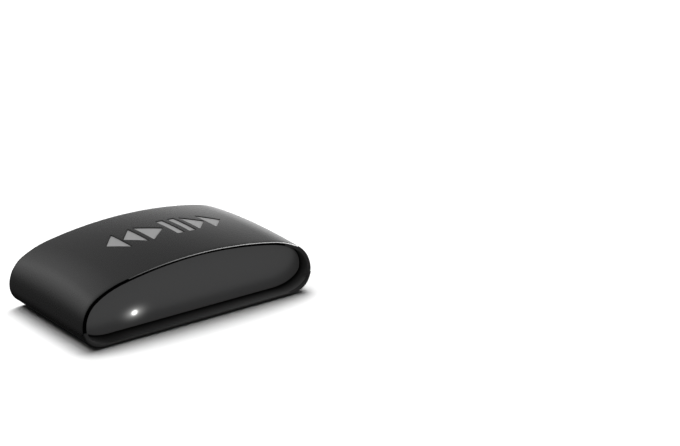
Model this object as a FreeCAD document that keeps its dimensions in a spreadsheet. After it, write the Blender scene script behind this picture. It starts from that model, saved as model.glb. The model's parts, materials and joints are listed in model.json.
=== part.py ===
"""Streaming media player: a palm-sized box with an arched wrap-round cover, a sunken dark window at
the front, ports and a reset button at the back, and the circuit board and its parts inside.

Millimetres. +X is to the right seen from the front, -Y is the front, +Z is up.
The origin is the middle of the footprint, on the surface that the foot pad rests on.
"""

import FreeCAD, Part
import math
import os
import Sketcher

from FreeCAD import Placement, Rotation, Vector

CELLS = {
    # overall form: an arch seen from the front, a little lower along the front and back edges
    "width": 71.0,
    "depth": 38.8,
    "height": 20.0,
    "top_arc": 110.5,
    "shoulder_arc": 28.6,
    "side_arc": 9.8,
    "edge_height": 18.65,
    "edge_top_arc": 121.9,
    "edge_shoulder_arc": 26.8,
    "edge_side_arc": 8.3,
    "belly": 6.3,
    "case_bottom": 1.0,
    "front_rake": 2.4,
    # shells
    "wall": 1.0,
    "fit_gap": 0.1,
    "seam": 4.2,
    "seam_gap": 0.15,
    "cover_corner": 2.0,
    "edge_bevel": 0.5,
    "floor_top": 1.8,
    "rib": 0.8,
    "rib_top": 6.0,
    "rear_face": 18.6,
    "rear_wall": 1.2,
    # window, measured on the floor line and leaning forward at the top
    "lens_tilt": 9.0,
    "lens_foot": 4.8,
    "lens": 1.2,
    "lens_corner": 6.5,
    "lens_lift": 0.05,
    "tape": 0.2,
    "tape_band": 2.2,
    "front_wall": 1.0,
    "led_x": -18.2,
    "led_z": 5.7,
    "guide": 1.1,
    "eye_x": 16.5,
    "eye_z": 8.6,
    "eye_opening": 6.4,
    "eye_width": 6.0,
    "eye_depth": 3.8,
    "eye_tall": 6.6,
    "eye_dome": 2.1,
    "holder_sheet": 0.25,
    # foot pad
    "foot_width": 62.8,
    "foot_depth": 36.2,
    "foot_corner": 4.0,
    "foot_inlay": 0.3,
    "foot_gap": 0.1,
    # circuit board
    "board_width": 59.0,
    "board_front": -12.4,
    "board_back": 17.0,
    "board_bottom": 4.0,
    "board": 1.0,
    "board_corner": 2.0,
    # fasteners
    "screw_x": 26.4,
    "screw_front": -9.4,
    "screw_back": 11.6,
    "post_x": 22.6,
    "post_y": 2.0,
    "shank": 0.8,
    "thread_gap": 0.05,
    "head": 1.75,
    "head_height": 1.1,
    "boss": 2.3,
    "post": 2.4,
    "sleeve": 2.9,
    # sockets: height of the sheet above the board, outer sizes, sheet thickness
    "socket_face": 18.45,
    "socket_clear": 0.3,
    "hdmi_x": 3.0,
    "hdmi_width": 15.0,
    "hdmi_height": 5.9,
    "hdmi_length": 11.6,
    "hdmi_sheet": 0.35,
    "hdmi_pitch": 1.0,
    "usb_x": -17.0,
    "usb_width": 7.8,
    "usb_height": 2.9,
    "usb_length": 5.4,
    "usb_sheet": 0.3,
    "usb_pitch": 0.65,
    "usb_ear_width": 1.6,
    "usb_ear_depth": 1.8,
    # reset button and its switch
    "reset_x": 20.0,
    "reset_z": 7.1,
    "button": 1.6,
    "button_flange": 2.0,
    "button_gap": 0.08,
    "button_face": 19.0,
    "button_back": 16.6,
    "button_rim": 0.35,
    "stem": 0.75,
    "stem_gap": 0.08,
    "switch_width": 6.0,
    "switch_depth": 3.4,
    "switch_height": 3.9,
    "switch_face": 15.9,
    "switch_bore": 2.4,
    "frame_sheet": 0.2,
    # shielded processor block
    "shield_x": -1.0,
    "shield_y": -2.2,
    "shield_width": 26.0,
    "shield_depth": 14.4,
    "shield_height": 1.7,
    "shield_sheet": 0.2,
    "chip": 1.1,
    "processor": 13.0,
    "processor_x": -6.5,
    "processor_pad": 11.5,
    "pad_width": 20.0,
    "pad_depth": 11.0,
    "spreader": 1.0,
    "spreader_pad": 0.8,
    "spreader_width": 52.0,
    "spreader_front": -7.9,
    "spreader_back": 5.4,
    # small parts on the board
    "coil": 3.8,
    "antenna_y": 1.0,
    "antenna_length": 13.0,
    "antenna_sheet": 0.3,
    # emblem
    "emblem_x": 1.4,
    "emblem_y": 0.4,
    "emblem_span": 36.0,
    "emblem_tall": 11.4,
    "emblem_arrow": 5.0,
    "emblem_play": 6.4,
    "emblem_bar": 2.2,
    "emblem_gap": 1.2,
    "emblem_recess": 0.4,
    "emblem_inlay": 0.2,
}

BOARD_TOP = "board_bottom + board"
LENS_BACK = "lens / cos(lens_tilt)"
LEVEL = "0"

doc = FreeCAD.newDocument("streaming_media_player")
sheet = doc.addObject("Spreadsheet::Sheet", "Sizes")
for row, (alias, number) in enumerate(CELLS.items(), 1):
    sheet.set(f"A{row}", alias)
    sheet.set(f"B{row}", str(number))
    sheet.setAlias(f"B{row}", alias)
doc.recompute()

nodes = {}


# ---------------------------------------------------------------------------- expressions


def linked(text):
    """The expression with every cell name written as the sheet's own."""
    out, word = "", ""
    for mark in str(text) + " ":
        if mark.isalnum() or mark == "_":
            word += mark
            continue
        out += f"Sizes.{word}" if word in CELLS else word
        out += mark
        word = ""
    return out.strip()


def value(text):
    """The number that an expression of cells stands for."""
    found = sheet.evalExpression(linked(text))
    return float(getattr(found, "Value", found))


def bind(thing, **sizes):
    """Binds properties to expressions; a double underscore stands for a dot."""
    for name, text in sizes.items():
        thing.setExpression(name.replace("__", "."), linked(text))
    return thing


def node(name, thing):
    """Makes a finished shape one of the sub-parts."""
    thing.Label = name
    nodes[name] = thing
    return thing


# ---------------------------------------------------------------------------- primitives and booleans


def box(name, x, y, z, wide, deep, tall):
    """A block: x and y are its middle, z its underside."""
    thing = doc.addObject("Part::Box", name)
    bind(thing, Length=wide, Width=deep, Height=tall)
    bind(thing, Placement__Base__x=f"({x}) - ({wide}) / 2", Placement__Base__y=f"({y}) - ({deep}) / 2")
    return bind(thing, Placement__Base__z=z)


def cylinder(name, x, y, z, radius, tall):
    """An upright cylinder standing on z."""
    thing = doc.addObject("Part::Cylinder", name)
    bind(thing, Radius=radius, Height=tall)
    return bind(thing, Placement__Base__x=x, Placement__Base__y=y, Placement__Base__z=z)


def rod(name, x, y, z, radius, long):
    """A cylinder that runs along +Y from y."""
    thing = doc.addObject("Part::Cylinder", name)
    thing.Placement = Placement(Vector(0, 0, 0), Rotation(Vector(1, 0, 0), -90))
    bind(thing, Radius=radius, Height=long)
    return bind(thing, Placement__Base__x=x, Placement__Base__y=y, Placement__Base__z=z)


def axle(name, y, z, radius):
    """A cylinder right across the object, along X."""
    thing = doc.addObject("Part::Cylinder", name)
    thing.Placement = Placement(Vector(0, 0, 0), Rotation(Vector(0, 1, 0), 90))
    bind(thing, Radius=radius, Height="2 * width")
    return bind(thing, Placement__Base__x="-width", Placement__Base__y=y, Placement__Base__z=z)


def fuse(name, things):
    thing = doc.addObject("Part::MultiFuse", name)
    thing.Shapes = list(things)
    return thing


def group(name, things):
    """Separate solids that share one node."""
    thing = doc.addObject("Part::Compound", name)
    thing.Links = list(things)
    return thing


def cut(name, base, *tools):
    thing = doc.addObject("Part::Cut", name)
    thing.Base = base
    thing.Tool = tools[0] if len(tools) == 1 else fuse(f"{name}_tools", tools)
    return thing


def common(name, first, second):
    thing = doc.addObject("Part::Common", name)
    thing.Base = first
    thing.Tool = second
    return thing


def rounded(name, base, size, bevel=False):
    """The base with its upright straight edges rounded, or bevelled."""
    doc.recompute()
    thing = doc.addObject("Part::Chamfer" if bevel else "Part::Fillet", name)
    thing.Base = base
    amount = value(size)
    upright = []
    for number, edge in enumerate(base.Shape.Edges, 1):
        ends = [vertex.Point for vertex in edge.Vertexes]
        if len(ends) == 2 and (ends[1] - ends[0]).cross(Vector(0, 0, 1)).Length < 1e-6:
            upright.append((number, amount, amount))
    thing.Edges = upright
    return thing


# ---------------------------------------------------------------------------- sketches and prisms


def sketch(body, name, role, offset=LEVEL):
    """A sketch on one of its body's own planes, shifted along that plane's normal."""
    made = body.newObject("Sketcher::SketchObject", name)
    plane = next(feature for feature in body.Origin.OriginFeatures if feature.Role == role)
    made.AttachmentSupport = [(plane, "")]
    made.MapMode = "FlatFace"
    return bind(made, AttachmentOffset__Base__z=offset)


def fix(made, kind, places, text=None):
    """Adds a constraint, with its size bound to an expression."""
    if text is None:
        made.addConstraint(Sketcher.Constraint(kind, *places))
        return
    number = made.addConstraint(Sketcher.Constraint(kind, *places, value(text)))
    made.setExpression(f"Constraints[{number}]", linked(text))


def polygon(made, points):
    """Adds a closed polygon whose corners are pairs of expressions."""
    first = made.GeometryCount
    count = len(points)
    spots = [Vector(value(x), value(y), 0) for x, y in points]
    for i in range(count):
        made.addGeometry(Part.LineSegment(spots[i], spots[(i + 1) % count]))
    for i in range(count):
        fix(made, "Coincident", (first + i, 2, first + (i + 1) % count, 1))
    for i, (x, y) in enumerate(points):
        fix(made, "DistanceX", (-1, 1, first + i, 1), x)
        fix(made, "DistanceY", (-1, 1, first + i, 1), y)


def prism(name, role, polygons, offset, long, both_ways=False, reverse=False):
    """A pad of one or more polygons drawn on an origin plane."""
    body = doc.addObject("PartDesign::Body", name)
    made = sketch(body, f"{name}_sketch", role, offset)
    for points in polygons:
        polygon(made, points)
    doc.recompute()
    pad = body.newObject("PartDesign::Pad", f"{name}_pad")
    pad.Profile = made
    pad.AllowMultiFace = True
    pad.Reversed = reverse
    if both_ways:
        pad.SideType = "Symmetric"
    bind(pad, Length=long)
    doc.recompute()
    return body


def side_prism(name, points):
    """A prism right across the object, from (y, z) corners."""
    return prism(name, "YZ_Plane", [points], LEVEL, "2 * width", both_ways=True)


def front_prism(name, points, start, long):
    """A prism that runs along +Y from start, from (x, z) corners."""
    return prism(name, "XZ_Plane", [points], f"-({start})", long, reverse=True)


# ---------------------------------------------------------------------------- the arched form


def arch_angles(top, shoulder, side, half, rise):
    """Where the top arc meets the shoulder and the shoulder meets the side, from the vertical, so that the
    three tangent arcs span half the width and the rise. Newton's method on those two lengths."""
    first, second = 0.2, 0.5
    for _ in range(40):
        wide = (top - shoulder) * math.sin(first) + (shoulder - side) * math.sin(second) + side - half
        high = top - (top - shoulder) * math.cos(first) - (shoulder - side) * math.cos(second) - rise
        a, b = (top - shoulder) * math.cos(first), (shoulder - side) * math.cos(second)
        c, d = (top - shoulder) * math.sin(first), (shoulder - side) * math.sin(second)
        scale = a * d - b * c
        first -= (wide * d - high * b) / scale
        second -= (high * a - wide * c) / scale
    return first, second


def arch(made, inset, bottom, edge):
    """The form's outline drawn in by inset: five arcs over the top, one under each side and a flat bottom,
    all tangent. edge takes the lower arch of the front and back edges."""
    prefix = "edge_" if edge else ""
    crown = "edge_height" if edge else "height"
    radii = [f"{prefix}{name}_arc - ({inset})" for name in ("top", "shoulder", "side")]
    half = f"width / 2 - ({inset})"
    top, shoulder, side = (value(radius) for radius in radii)
    wide, tall, belly, low = value(half), value(f"{crown} - ({inset})"), value("belly"), value(bottom)
    first, second = arch_angles(top, shoulder, side, wide, tall - belly)
    tuck = belly - low
    middle = Vector(0, tall - top, 0)
    right_shoulder = middle + Vector(math.sin(first), math.cos(first), 0) * (top - shoulder)
    left_shoulder = Vector(-right_shoulder.x, right_shoulder.y, 0)
    quarter = math.pi / 2
    arcs = (
        (Vector(wide - tuck, belly, 0), tuck, -quarter, 0),
        (Vector(wide - side, belly, 0), side, 0, quarter - second),
        (right_shoulder, shoulder, quarter - second, quarter - first),
        (middle, top, quarter - first, quarter + first),
        (left_shoulder, shoulder, quarter + first, quarter + second),
        (Vector(side - wide, belly, 0), side, quarter + second, 2 * quarter),
        (Vector(tuck - wide, belly, 0), tuck, 2 * quarter, 3 * quarter),
    )
    for centre, radius, start, end in arcs:
        made.addGeometry(Part.ArcOfCircle(Part.Circle(centre, Vector(0, 0, 1), radius), start, end))
    made.addGeometry(Part.LineSegment(Vector(tuck - wide, low, 0), Vector(wide - tuck, low, 0)))
    pieces = len(arcs) + 1
    for i in range(pieces):
        fix(made, "Tangent", (i, 2, (i + 1) % pieces, 1))
    fix(made, "PointOnObject", (3, 3, -2))
    fix(made, "Horizontal", (7,))
    fix(made, "Horizontal", (0, 3, 0, 2))
    fix(made, "Horizontal", (6, 3, 6, 1))
    for piece, radius in zip((3, 2, 1), radii):
        fix(made, "Radius", (piece,), radius)
    fix(made, "Equal", (2, 4))
    fix(made, "Equal", (1, 5))
    fix(made, "DistanceY", (3, 3, -1, 1), f"({radii[0]}) - ({crown} - ({inset}))")
    fix(made, "DistanceX", (-1, 1, 0, 2), half)
    fix(made, "DistanceX", (6, 1, -1, 1), half)
    fix(made, "DistanceY", (-1, 1, 0, 2), "belly")
    fix(made, "DistanceY", (-1, 1, 6, 1), "belly")
    fix(made, "DistanceY", (-1, 1, 7, 1), bottom)


def arched_form(name, inset, bottom):
    """The whole form drawn in by inset, lofted from the front edge over the middle to the back edge."""
    body = doc.addObject("PartDesign::Body", name)
    places = (("front", "depth / 2", True), ("middle", LEVEL, False), ("back", "-depth / 2", True))
    sections = []
    for place, offset, edge in places:
        made = sketch(body, f"{name}_{place}", "XZ_Plane", offset)
        arch(made, inset, bottom, edge)
        sections.append(made)
    doc.recompute()
    loft = body.newObject("PartDesign::AdditiveLoft", f"{name}_loft")
    loft.Profile = sections[0]
    loft.Sections = sections[1:]
    doc.recompute()
    return body


def leaning(name, near, far, low=LEVEL):
    """A slab parallel to the window, from near to far behind the window's front face."""
    reach = "2 * height"
    lean = f"({reach}) * tan(lens_tilt)"
    foot = f"lens_foot - depth / 2 - ({low}) * tan(lens_tilt)"
    rise = f"({reach}) + ({low})"
    return side_prism(
        name,
        [
            (f"{foot} + ({near})", low),
            (f"{foot} + ({far})", low),
            (f"{foot} + ({far}) - {lean}", rise),
            (f"{foot} + ({near}) - {lean}", rise),
        ],
    )


# ---------------------------------------------------------------------------- outer shells


def screw_places():
    """The four board screws, as (x, y) expressions."""
    return [(x, y) for y in ("screw_front", "screw_back") for x in ("-screw_x", "screw_x")]


def post_places():
    """The two case screws."""
    return [("-post_x", "post_y"), ("post_x", "post_y")]


def cylinders(name, places, z, radius, tall):
    """One upright cylinder at each place."""
    return [cylinder(f"{name}_{i}", x, y, z, radius, tall) for i, (x, y) in enumerate(places)]


def below_seam(name, gap):
    """Everything below the seam between cover and case, which rises in a curve at the front, less a gap."""
    low = box(f"{name}_low", LEVEL, LEVEL, LEVEL, "2 * width", "2 * depth", f"seam - {gap}")
    corner, y, z = "cover_corner", "cover_corner - depth / 2", "seam + cover_corner"
    block_y, block_tall = f"{y} - depth / 2", f"{z} - seam / 2"
    block = box(f"{name}_block", LEVEL, block_y, "seam / 2", "2 * width", "depth", block_tall)
    curve = cut(f"{name}_curve", block, axle(f"{name}_axle", y, z, f"{corner} + {gap}"))
    return fuse(name, [low, curve])


def make_cover(outer, cavity, recess):
    """Arched band, open at the front and back, with two screw posts that stand on the board."""
    posts = cylinders("cover_post", post_places(), BOARD_TOP, "post", "height")
    shell = cut("cover_shell", outer, cut("cover_hollow", cavity, *posts))
    below = below_seam("cover_below", LEVEL)
    rake = side_prism(
        "cover_rake",
        [
            ("-depth", LEVEL),
            ("-depth / 2", LEVEL),
            ("-depth / 2 + 2 * height * tan(front_rake)", "2 * height"),
            ("-depth", "2 * height"),
        ],
    )
    pilots = cylinders("cover_pilot", post_places(), BOARD_TOP, "shank + thread_gap", "height / 3")
    trimmed = cut("cover_trimmed", shell, below, rake, *pilots)
    node("top_cover", cut("cover_marked", trimmed, recess))


def glyph_outlines():
    """Four transport symbols in a row: back, play, pause and forward."""
    low, middle, high = "emblem_y - emblem_tall / 2", "emblem_y", "emblem_y + emblem_tall / 2"

    def triangle(base, tip):
        return [(f"emblem_x + {base}", low), (f"emblem_x + {tip}", middle), (f"emblem_x + {base}", high)]

    def bar(left):
        right = f"{left} + emblem_bar"
        corners = ((left, low), (right, low), (right, high), (left, high))
        return [(f"emblem_x + {x}", y) for x, y in corners]

    end, arrow, notch = "emblem_span / 2", "emblem_arrow", "emblem_gap / 6"
    inner = f"{end} - 2 * {arrow} - {notch}"
    play = f"emblem_gap - ({inner})"
    pause = f"{inner} - emblem_gap"
    return [
        triangle(f"{arrow} - {end}", f"0 - {end}"),
        triangle(f"0 - ({inner})", f"{arrow} + {notch} - {end}"),
        triangle(play, f"{play} + emblem_play"),
        bar(f"{pause} - 2 * emblem_bar - 1.2 * emblem_gap"),
        bar(f"{pause} - emblem_bar"),
        triangle(inner, f"{end} - {arrow} - {notch}"),
        triangle(f"{end} - {arrow}", end),
    ]


def make_emblem():
    """Seven thin inlays at the bottom of the cover's recess. Returns the recess as a tool."""
    floor = arched_form("emblem_floor", "emblem_recess", "case_bottom")
    face = arched_form("emblem_face", "emblem_recess - emblem_inlay", "case_bottom")
    glyphs = [
        prism(f"glyph_{i}", "XY_Plane", [points], "height / 2", "height")
        for i, points in enumerate(glyph_outlines())
    ]
    marks = group("glyphs", glyphs)
    node("top_emblem", cut("emblem_inlays", common("emblem_below_face", marks, face), floor))
    return cut("emblem_recess_tool", fuse("glyphs_fused", glyphs), floor)


def make_case(outer, fitted):
    """Tray with a lapped rib inside the cover, a rear wall with the ports and a wall behind the window."""
    inner = arched_form("case_inside", "wall + fit_gap + rib", "floor_top")
    tray = common("case_tray", outer, below_seam("case_below", "seam_gap"))
    lap = common("case_lap", fitted, box("case_lap_zone", LEVEL, LEVEL, LEVEL, "width", "depth", "rib_top"))
    hollow = cut("case_hollow", fuse("case_block", [tray, lap]), inner)
    wall_near = f"{LENS_BACK} + tape"
    mouth = common("case_mouth", fitted, leaning("mouth_zone", "-depth", wall_near, "floor_top"))
    behind = box("rear_zone", LEVEL, "depth + rear_face", "floor_top", "2 * width", "2 * depth", "height")
    clear = cut("case_clear", hollow, mouth, common("case_rear_recess", fitted, behind))
    rear = box("rear_slab", LEVEL, "rear_face - rear_wall / 2", "floor_top", "width", "rear_wall", "height")
    front = leaning("front_slab", wall_near, f"{wall_near} + front_wall", "floor_top")
    bosses = cylinders("case_boss", screw_places(), "floor_top", "boss", "board_bottom - floor_top")
    sleeves = cylinders("case_sleeve", post_places(), "floor_top", "sleeve", "board_bottom - floor_top")
    solid = fuse(
        "case_solid",
        [clear, common("case_rear", fitted, rear), common("case_front", fitted, front), *bosses, *sleeves],
    )
    pocket = foot_block("foot_pocket", "foot_gap")
    bevels = [edge_wedge("case_bevel_front", "-1"), edge_wedge("case_bevel_back", "1")]
    node("bottom_case", cut("case_pierced", solid, *case_openings(), pocket, *bevels))


def edge_wedge(name, sign):
    """The wedge that bevels the tray's lower front or back edge."""
    out, low = f"{sign} * (depth / 2 + 1)", "case_bottom - 1"
    inward = f"{sign} * (depth / 2 - edge_bevel - 1)"
    return side_prism(name, [(out, low), (out, "case_bottom + edge_bevel + 1"), (inward, low)])


def case_openings():
    """Screw holes, ports, the reset hole, the eye's window and the light's hole."""
    tall = "board_bottom - floor_top"
    through = "case_bottom + foot_inlay"
    deep = "floor_top + 0.8"
    tools = cylinders("case_pilot", screw_places(), "floor_top", "shank + thread_gap", tall)
    head_low, head_deep = f"{through} - 0.1", f"{deep} - ({through})"
    tools += cylinders("case_head_hole", post_places(), head_low, "head + 0.3", head_deep)
    tools += cylinders("case_shank_hole", post_places(), LEVEL, "shank + 0.25", "board_bottom")
    for name in ("hdmi", "usb"):
        wide, high = f"{name}_width + 2 * socket_clear", f"{name}_height + 2 * socket_clear"
        low = f"{BOARD_TOP} - socket_clear"
        tools.append(box(f"{name}_opening", f"{name}_x", "rear_face", low, wide, "4 * rear_wall", high))
    start, reach = "rear_face - 2 * rear_wall", "button + button_gap"
    tools.append(rod("reset_hole", "reset_x", start, "reset_z", reach, "depth"))
    eye, low = "eye_opening", "eye_z - eye_opening / 2"
    tools.append(box("eye_hole", "eye_x", "-depth / 2 + lens_foot", low, eye, "2 * lens_foot", eye))
    tools.append(rod("light_hole", "led_x", "-depth / 2", "led_z", "guide + fit_gap", "2 * lens_foot"))
    return tools


def foot_block(name, grow):
    """A round-cornered block with the foot pad's outline, grown by a clearance."""
    wide, deep = f"foot_width + {grow}", f"foot_depth + {grow}"
    block = box(f"{name}_block", LEVEL, LEVEL, LEVEL, wide, deep, "case_bottom + foot_inlay")
    return rounded(name, block, "foot_corner")


def make_foot():
    """Rubber pad glued into a shallow pocket in the underside."""
    node("foot_pad", foot_block("foot", LEVEL))


def make_window(fitted):
    """Dark window that the infrared and the status light pass through, with its foam tape."""
    slab = leaning("window_slab", LEVEL, LENS_BACK, "floor_top + lens_lift")
    plate = common("window_plate", fitted, slab)
    corner, low = "lens_corner", "floor_top + lens_lift"
    tools = []
    for name, sign in (("left", "-1"), ("right", "1")):
        turn = f"{sign} * (width / 2 - wall - fit_gap - {corner})"
        outside = f"{turn} + {sign} * {corner}"
        square = box(f"corner_{name}", outside, LEVEL, low, f"2 * {corner}", "2 * depth", corner)
        disc = rod(f"corner_{name}_round", turn, "-depth", f"{low} + {corner}", corner, "2 * depth")
        tools.append(cut(f"corner_{name}_tool", square, disc))
    node("front_window", cut("window_rounded", plate, *tools))
    band = arched_form("tape_form", "wall + fit_gap + 0.4", "floor_top + 0.4")
    inside = arched_form("tape_inside", "wall + fit_gap + tape_band", "floor_top + tape_band")
    gasket = common("tape_band_solid", band, leaning("tape_slab", LENS_BACK, f"{LENS_BACK} + tape"))
    node("window_tape", cut("tape_ring", gasket, inside, *tools))


# ---------------------------------------------------------------------------- board and fasteners


def make_board():
    """Circuit board on four bosses, with slots for the HDMI socket's legs."""
    length = "board_back - board_front"
    middle = "(board_back + board_front) / 2"
    blank = box("board_blank", LEVEL, middle, "board_bottom", "board_width", length, "board")
    plate = rounded("board_plate", blank, "board_corner")
    holes = cylinders("board_hole", screw_places(), LEVEL, "shank + 0.3", "height")
    holes += cylinders("board_pass", post_places(), LEVEL, "shank + 0.4", "height")
    for i, (x, y) in enumerate(leg_places()):
        holes.append(box(f"board_slot_{i}", x, y, LEVEL, "hdmi_sheet + 0.4", "2.0", "height"))
    node("main_board", cut("board_drilled", plate, *holes))


def screw(name, x, y, head_low, shank_low, shank_long, head_first):
    """A round-headed screw with a cross slot in its head."""
    head = cylinder(f"{name}_head", x, y, head_low, "head", "head_height")
    shank = cylinder(f"{name}_shank", x, y, shank_low, "shank", shank_long)
    slot_low = f"{head_low} + head_height / 2" if head_first else head_low
    across = box(f"{name}_across", x, y, slot_low, "1.5 * head", "0.25 * head", "head_height / 2")
    along = box(f"{name}_along", x, y, slot_low, "0.25 * head", "1.5 * head", "head_height / 2")
    return cut(name, fuse(f"{name}_blank", [head, shank]), across, along)


def make_screws():
    """Four screws hold the board, and two from below hold the cover."""
    reach = f"{BOARD_TOP} - floor_top - 0.2"
    board = [
        screw(f"board_screw_{i}", x, y, BOARD_TOP, "floor_top + 0.2", reach, True)
        for i, (x, y) in enumerate(screw_places())
    ]
    node("board_screws", group("board_screw_group", board))
    low = "floor_top + 0.7 - head_height"
    case = [
        screw(f"case_screw_{i}", x, y, low, "floor_top + 0.7", "height / 3", False)
        for i, (x, y) in enumerate(post_places())
    ]
    node("case_screws", group("case_screw_group", case))


# ---------------------------------------------------------------------------- sockets


def socket_outline(name, inset):
    """A socket's mouth, wide at the top with its lower corners cut off, as (x, z) corners."""
    half, tall, x = f"({name}_width / 2 - ({inset}))", f"{name}_height", f"{name}_x"
    foot, shelf = f"0.74 * {half}", f"{BOARD_TOP} + 0.42 * {tall}"
    low, high = f"{BOARD_TOP} + 0.05 * {tall} + ({inset})", f"{BOARD_TOP} + {tall} - ({inset})"
    return [
        (f"{x} - {half}", high),
        (f"{x} - {half}", shelf),
        (f"{x} - {foot}", low),
        (f"{x} + {foot}", low),
        (f"{x} + {half}", shelf),
        (f"{x} + {half}", high),
    ]


def socket_shell(name, extra=()):
    """Folded sheet round a socket, open at the back of the player, with two spring windows in its top."""
    back = f"socket_face - {name}_length"
    thick = f"{name}_sheet"
    outside = front_prism(f"{name}_outside", socket_outline(name, LEVEL), back, f"{name}_length")
    inside = front_prism(f"{name}_inside", socket_outline(name, thick), f"{back} + {thick}", "depth")
    windows = []
    for side, sign in (("left", "-1"), ("right", "1")):
        x = f"{name}_x + {sign} * {name}_width / 4"
        y = f"socket_face - 0.4 * {name}_length"
        high = f"{BOARD_TOP} + {name}_height / 2"
        wide, deep = f"0.1 * {name}_width", f"0.35 * {name}_length"
        windows.append(box(f"{name}_window_{side}", x, y, high, wide, deep, f"{name}_height"))
    hollow = cut(f"{name}_hollow", outside, inside, *windows)
    return node(f"{name}_shell", fuse(f"{name}_folded", [hollow, *extra]) if extra else hollow)


def leg_places():
    """The HDMI shell's four legs through the board."""
    half = "hdmi_width / 2 - hdmi_sheet / 2"
    rows = ("socket_face - 0.25 * hdmi_length", "socket_face - 0.8 * hdmi_length")
    return [(f"hdmi_x + {sign} * ({half})", y) for y in rows for sign in ("-1", "1")]


def socket_insulator(name, gap, tongue_wide, tongue_low, tongue):
    """Moulded block at the bottom of a socket with the tongue that carries the contacts."""
    back = f"socket_face - {name}_length + {name}_sheet"
    inset = f"{name}_sheet + {gap}"
    long = f"0.18 * {name}_length"
    block = front_prism(f"{name}_block", socket_outline(name, inset), f"{back} + {gap}", long)
    reach = f"0.82 * {name}_length"
    middle = f"{back} + {gap} + ({reach}) / 2"
    bar = box(f"{name}_tongue", f"{name}_x", middle, tongue_low, tongue_wide, reach, tongue)
    return node(f"{name}_insulator", fuse(f"{name}_moulding", [block, bar]))


def contacts(name, rows, wide, thick, long, start):
    """Flat contacts along a tongue: rows of (count, z)."""
    made = []
    for r, (count, z) in enumerate(rows):
        for i in range(count):
            x = f"{name}_x + ({i} - {(count - 1) / 2}) * {name}_pitch"
            made.append(box(f"{name}_contact_{r}_{i}", x, f"{start} + {long} / 2", z, wide, long, thick))
    return made


def make_hdmi():
    """HDMI socket: shell with legs, insulator, nineteen contacts."""
    low, tall = "board_bottom - 0.4", "board + 0.4 + hdmi_height / 2"
    legs = [
        box(f"hdmi_leg_{i}", x, y, low, "hdmi_sheet", "1.6", tall)
        for i, (x, y) in enumerate(leg_places())
    ]
    socket_shell("hdmi", legs)
    low, tongue = f"{BOARD_TOP} + 0.55 * hdmi_height", "1.0"
    socket_insulator("hdmi", "0.1", "11.6", low, tongue)
    start, long = "(socket_face - 0.78 * hdmi_length)", "(0.56 * hdmi_length)"
    rows = [(10, f"{low} + {tongue}"), (9, f"{low} - 0.12")]
    strips = contacts("hdmi", rows, "0.45", "0.12", long, start)
    tail_y = "socket_face - hdmi_length - 0.5"
    tails = []
    for i in range(19):
        x = f"hdmi_x + ({i} - 9) * hdmi_pitch / 2"
        tails.append(box(f"hdmi_tail_{i}", x, tail_y, BOARD_TOP, "0.25", "1.0", "0.15"))
    node("hdmi_contacts", group("hdmi_contact_group", strips + tails))


def make_usb():
    """Micro-USB power socket: shell with two ears, insulator, five contacts."""
    y, deep = "socket_face - 2.6", "usb_ear_depth"
    folds = []
    for i, sign in enumerate(("-1", "1")):
        ear_x = f"usb_x + {sign} * (usb_width / 2 + 0.5)"
        strut_x = f"usb_x + {sign} * (usb_width / 2 - usb_sheet / 2)"
        folds.append(box(f"usb_ear_{i}", ear_x, y, BOARD_TOP, "usb_ear_width", deep, "usb_sheet"))
        folds.append(box(f"usb_strut_{i}", strut_x, y, BOARD_TOP, "usb_sheet", deep, "usb_height / 2"))
    socket_shell("usb", folds)
    low, tongue = f"{BOARD_TOP} + 0.52 * usb_height", "0.6"
    socket_insulator("usb", "0.08", "3.7", low, tongue)
    start, long = "(socket_face - 0.72 * usb_length)", "(0.48 * usb_length)"
    strips = contacts("usb", [(5, f"{low} - 0.1")], "0.35", "0.1", long, start)
    tail_y = "socket_face - usb_length - 0.4"
    tails = [
        box(f"usb_tail_{i}", f"usb_x + ({i} - 2) * usb_pitch", tail_y, BOARD_TOP, "0.3", "0.8", "0.12")
        for i in range(5)
    ]
    node("usb_contacts", group("usb_contact_group", strips + tails))


# ---------------------------------------------------------------------------- reset button


def make_reset():
    """Push button in the rear wall, which presses the stem of a side-acting switch on the board."""
    x, z = "reset_x", "reset_z"
    inner_face = "rear_face - rear_wall - 0.05"
    flange = rod("button_flange_disc", x, "button_back", z, "button_flange", f"{inner_face} - button_back")
    shaft = rod("button_shaft", x, "button_back", z, "button", "button_face - button_rim - button_back")
    rim = doc.addObject("Part::Cone", "button_rim_cone")
    rim.Placement = Placement(Vector(0, 0, 0), Rotation(Vector(1, 0, 0), -90))
    bind(rim, Radius1="button", Radius2="button - button_rim", Height="button_rim")
    bind(rim, Placement__Base__x=x, Placement__Base__y="button_face - button_rim", Placement__Base__z=z)
    node("reset_button", fuse("button_solid", [flange, shaft, rim]))
    stem_start = "switch_face - switch_bore + 0.7"
    stem = rod("switch_stem_rod", x, stem_start, z, "stem", f"button_back - ({stem_start})")
    node("switch_stem", stem)
    low = BOARD_TOP
    middle = "switch_face - switch_depth / 2"
    body = box("switch_block", x, middle, low, "switch_width", "switch_depth", "switch_height")
    bore = rod("switch_bore_rod", x, "switch_face - switch_bore", z, "stem + stem_gap", "depth")
    node("reset_switch", cut("switch_body", body, bore))
    plate_y, plate_tall = "switch_face + frame_sheet / 2", "switch_height + frame_sheet"
    plate = box("switch_plate", x, plate_y, low, "switch_width", "frame_sheet", plate_tall)
    roof_y, roof_low = f"{middle} + frame_sheet / 2", f"{low} + switch_height"
    roof_deep = "switch_depth + frame_sheet"
    roof = box("switch_roof", x, roof_y, roof_low, "switch_width", roof_deep, "frame_sheet")
    hole = rod("switch_plate_hole", x, LEVEL, z, "stem + 2 * stem_gap", "depth")
    node("switch_frame", cut("switch_frame_sheet", fuse("switch_frame_blank", [plate, roof]), hole))


# ---------------------------------------------------------------------------- light and infrared eye


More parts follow.
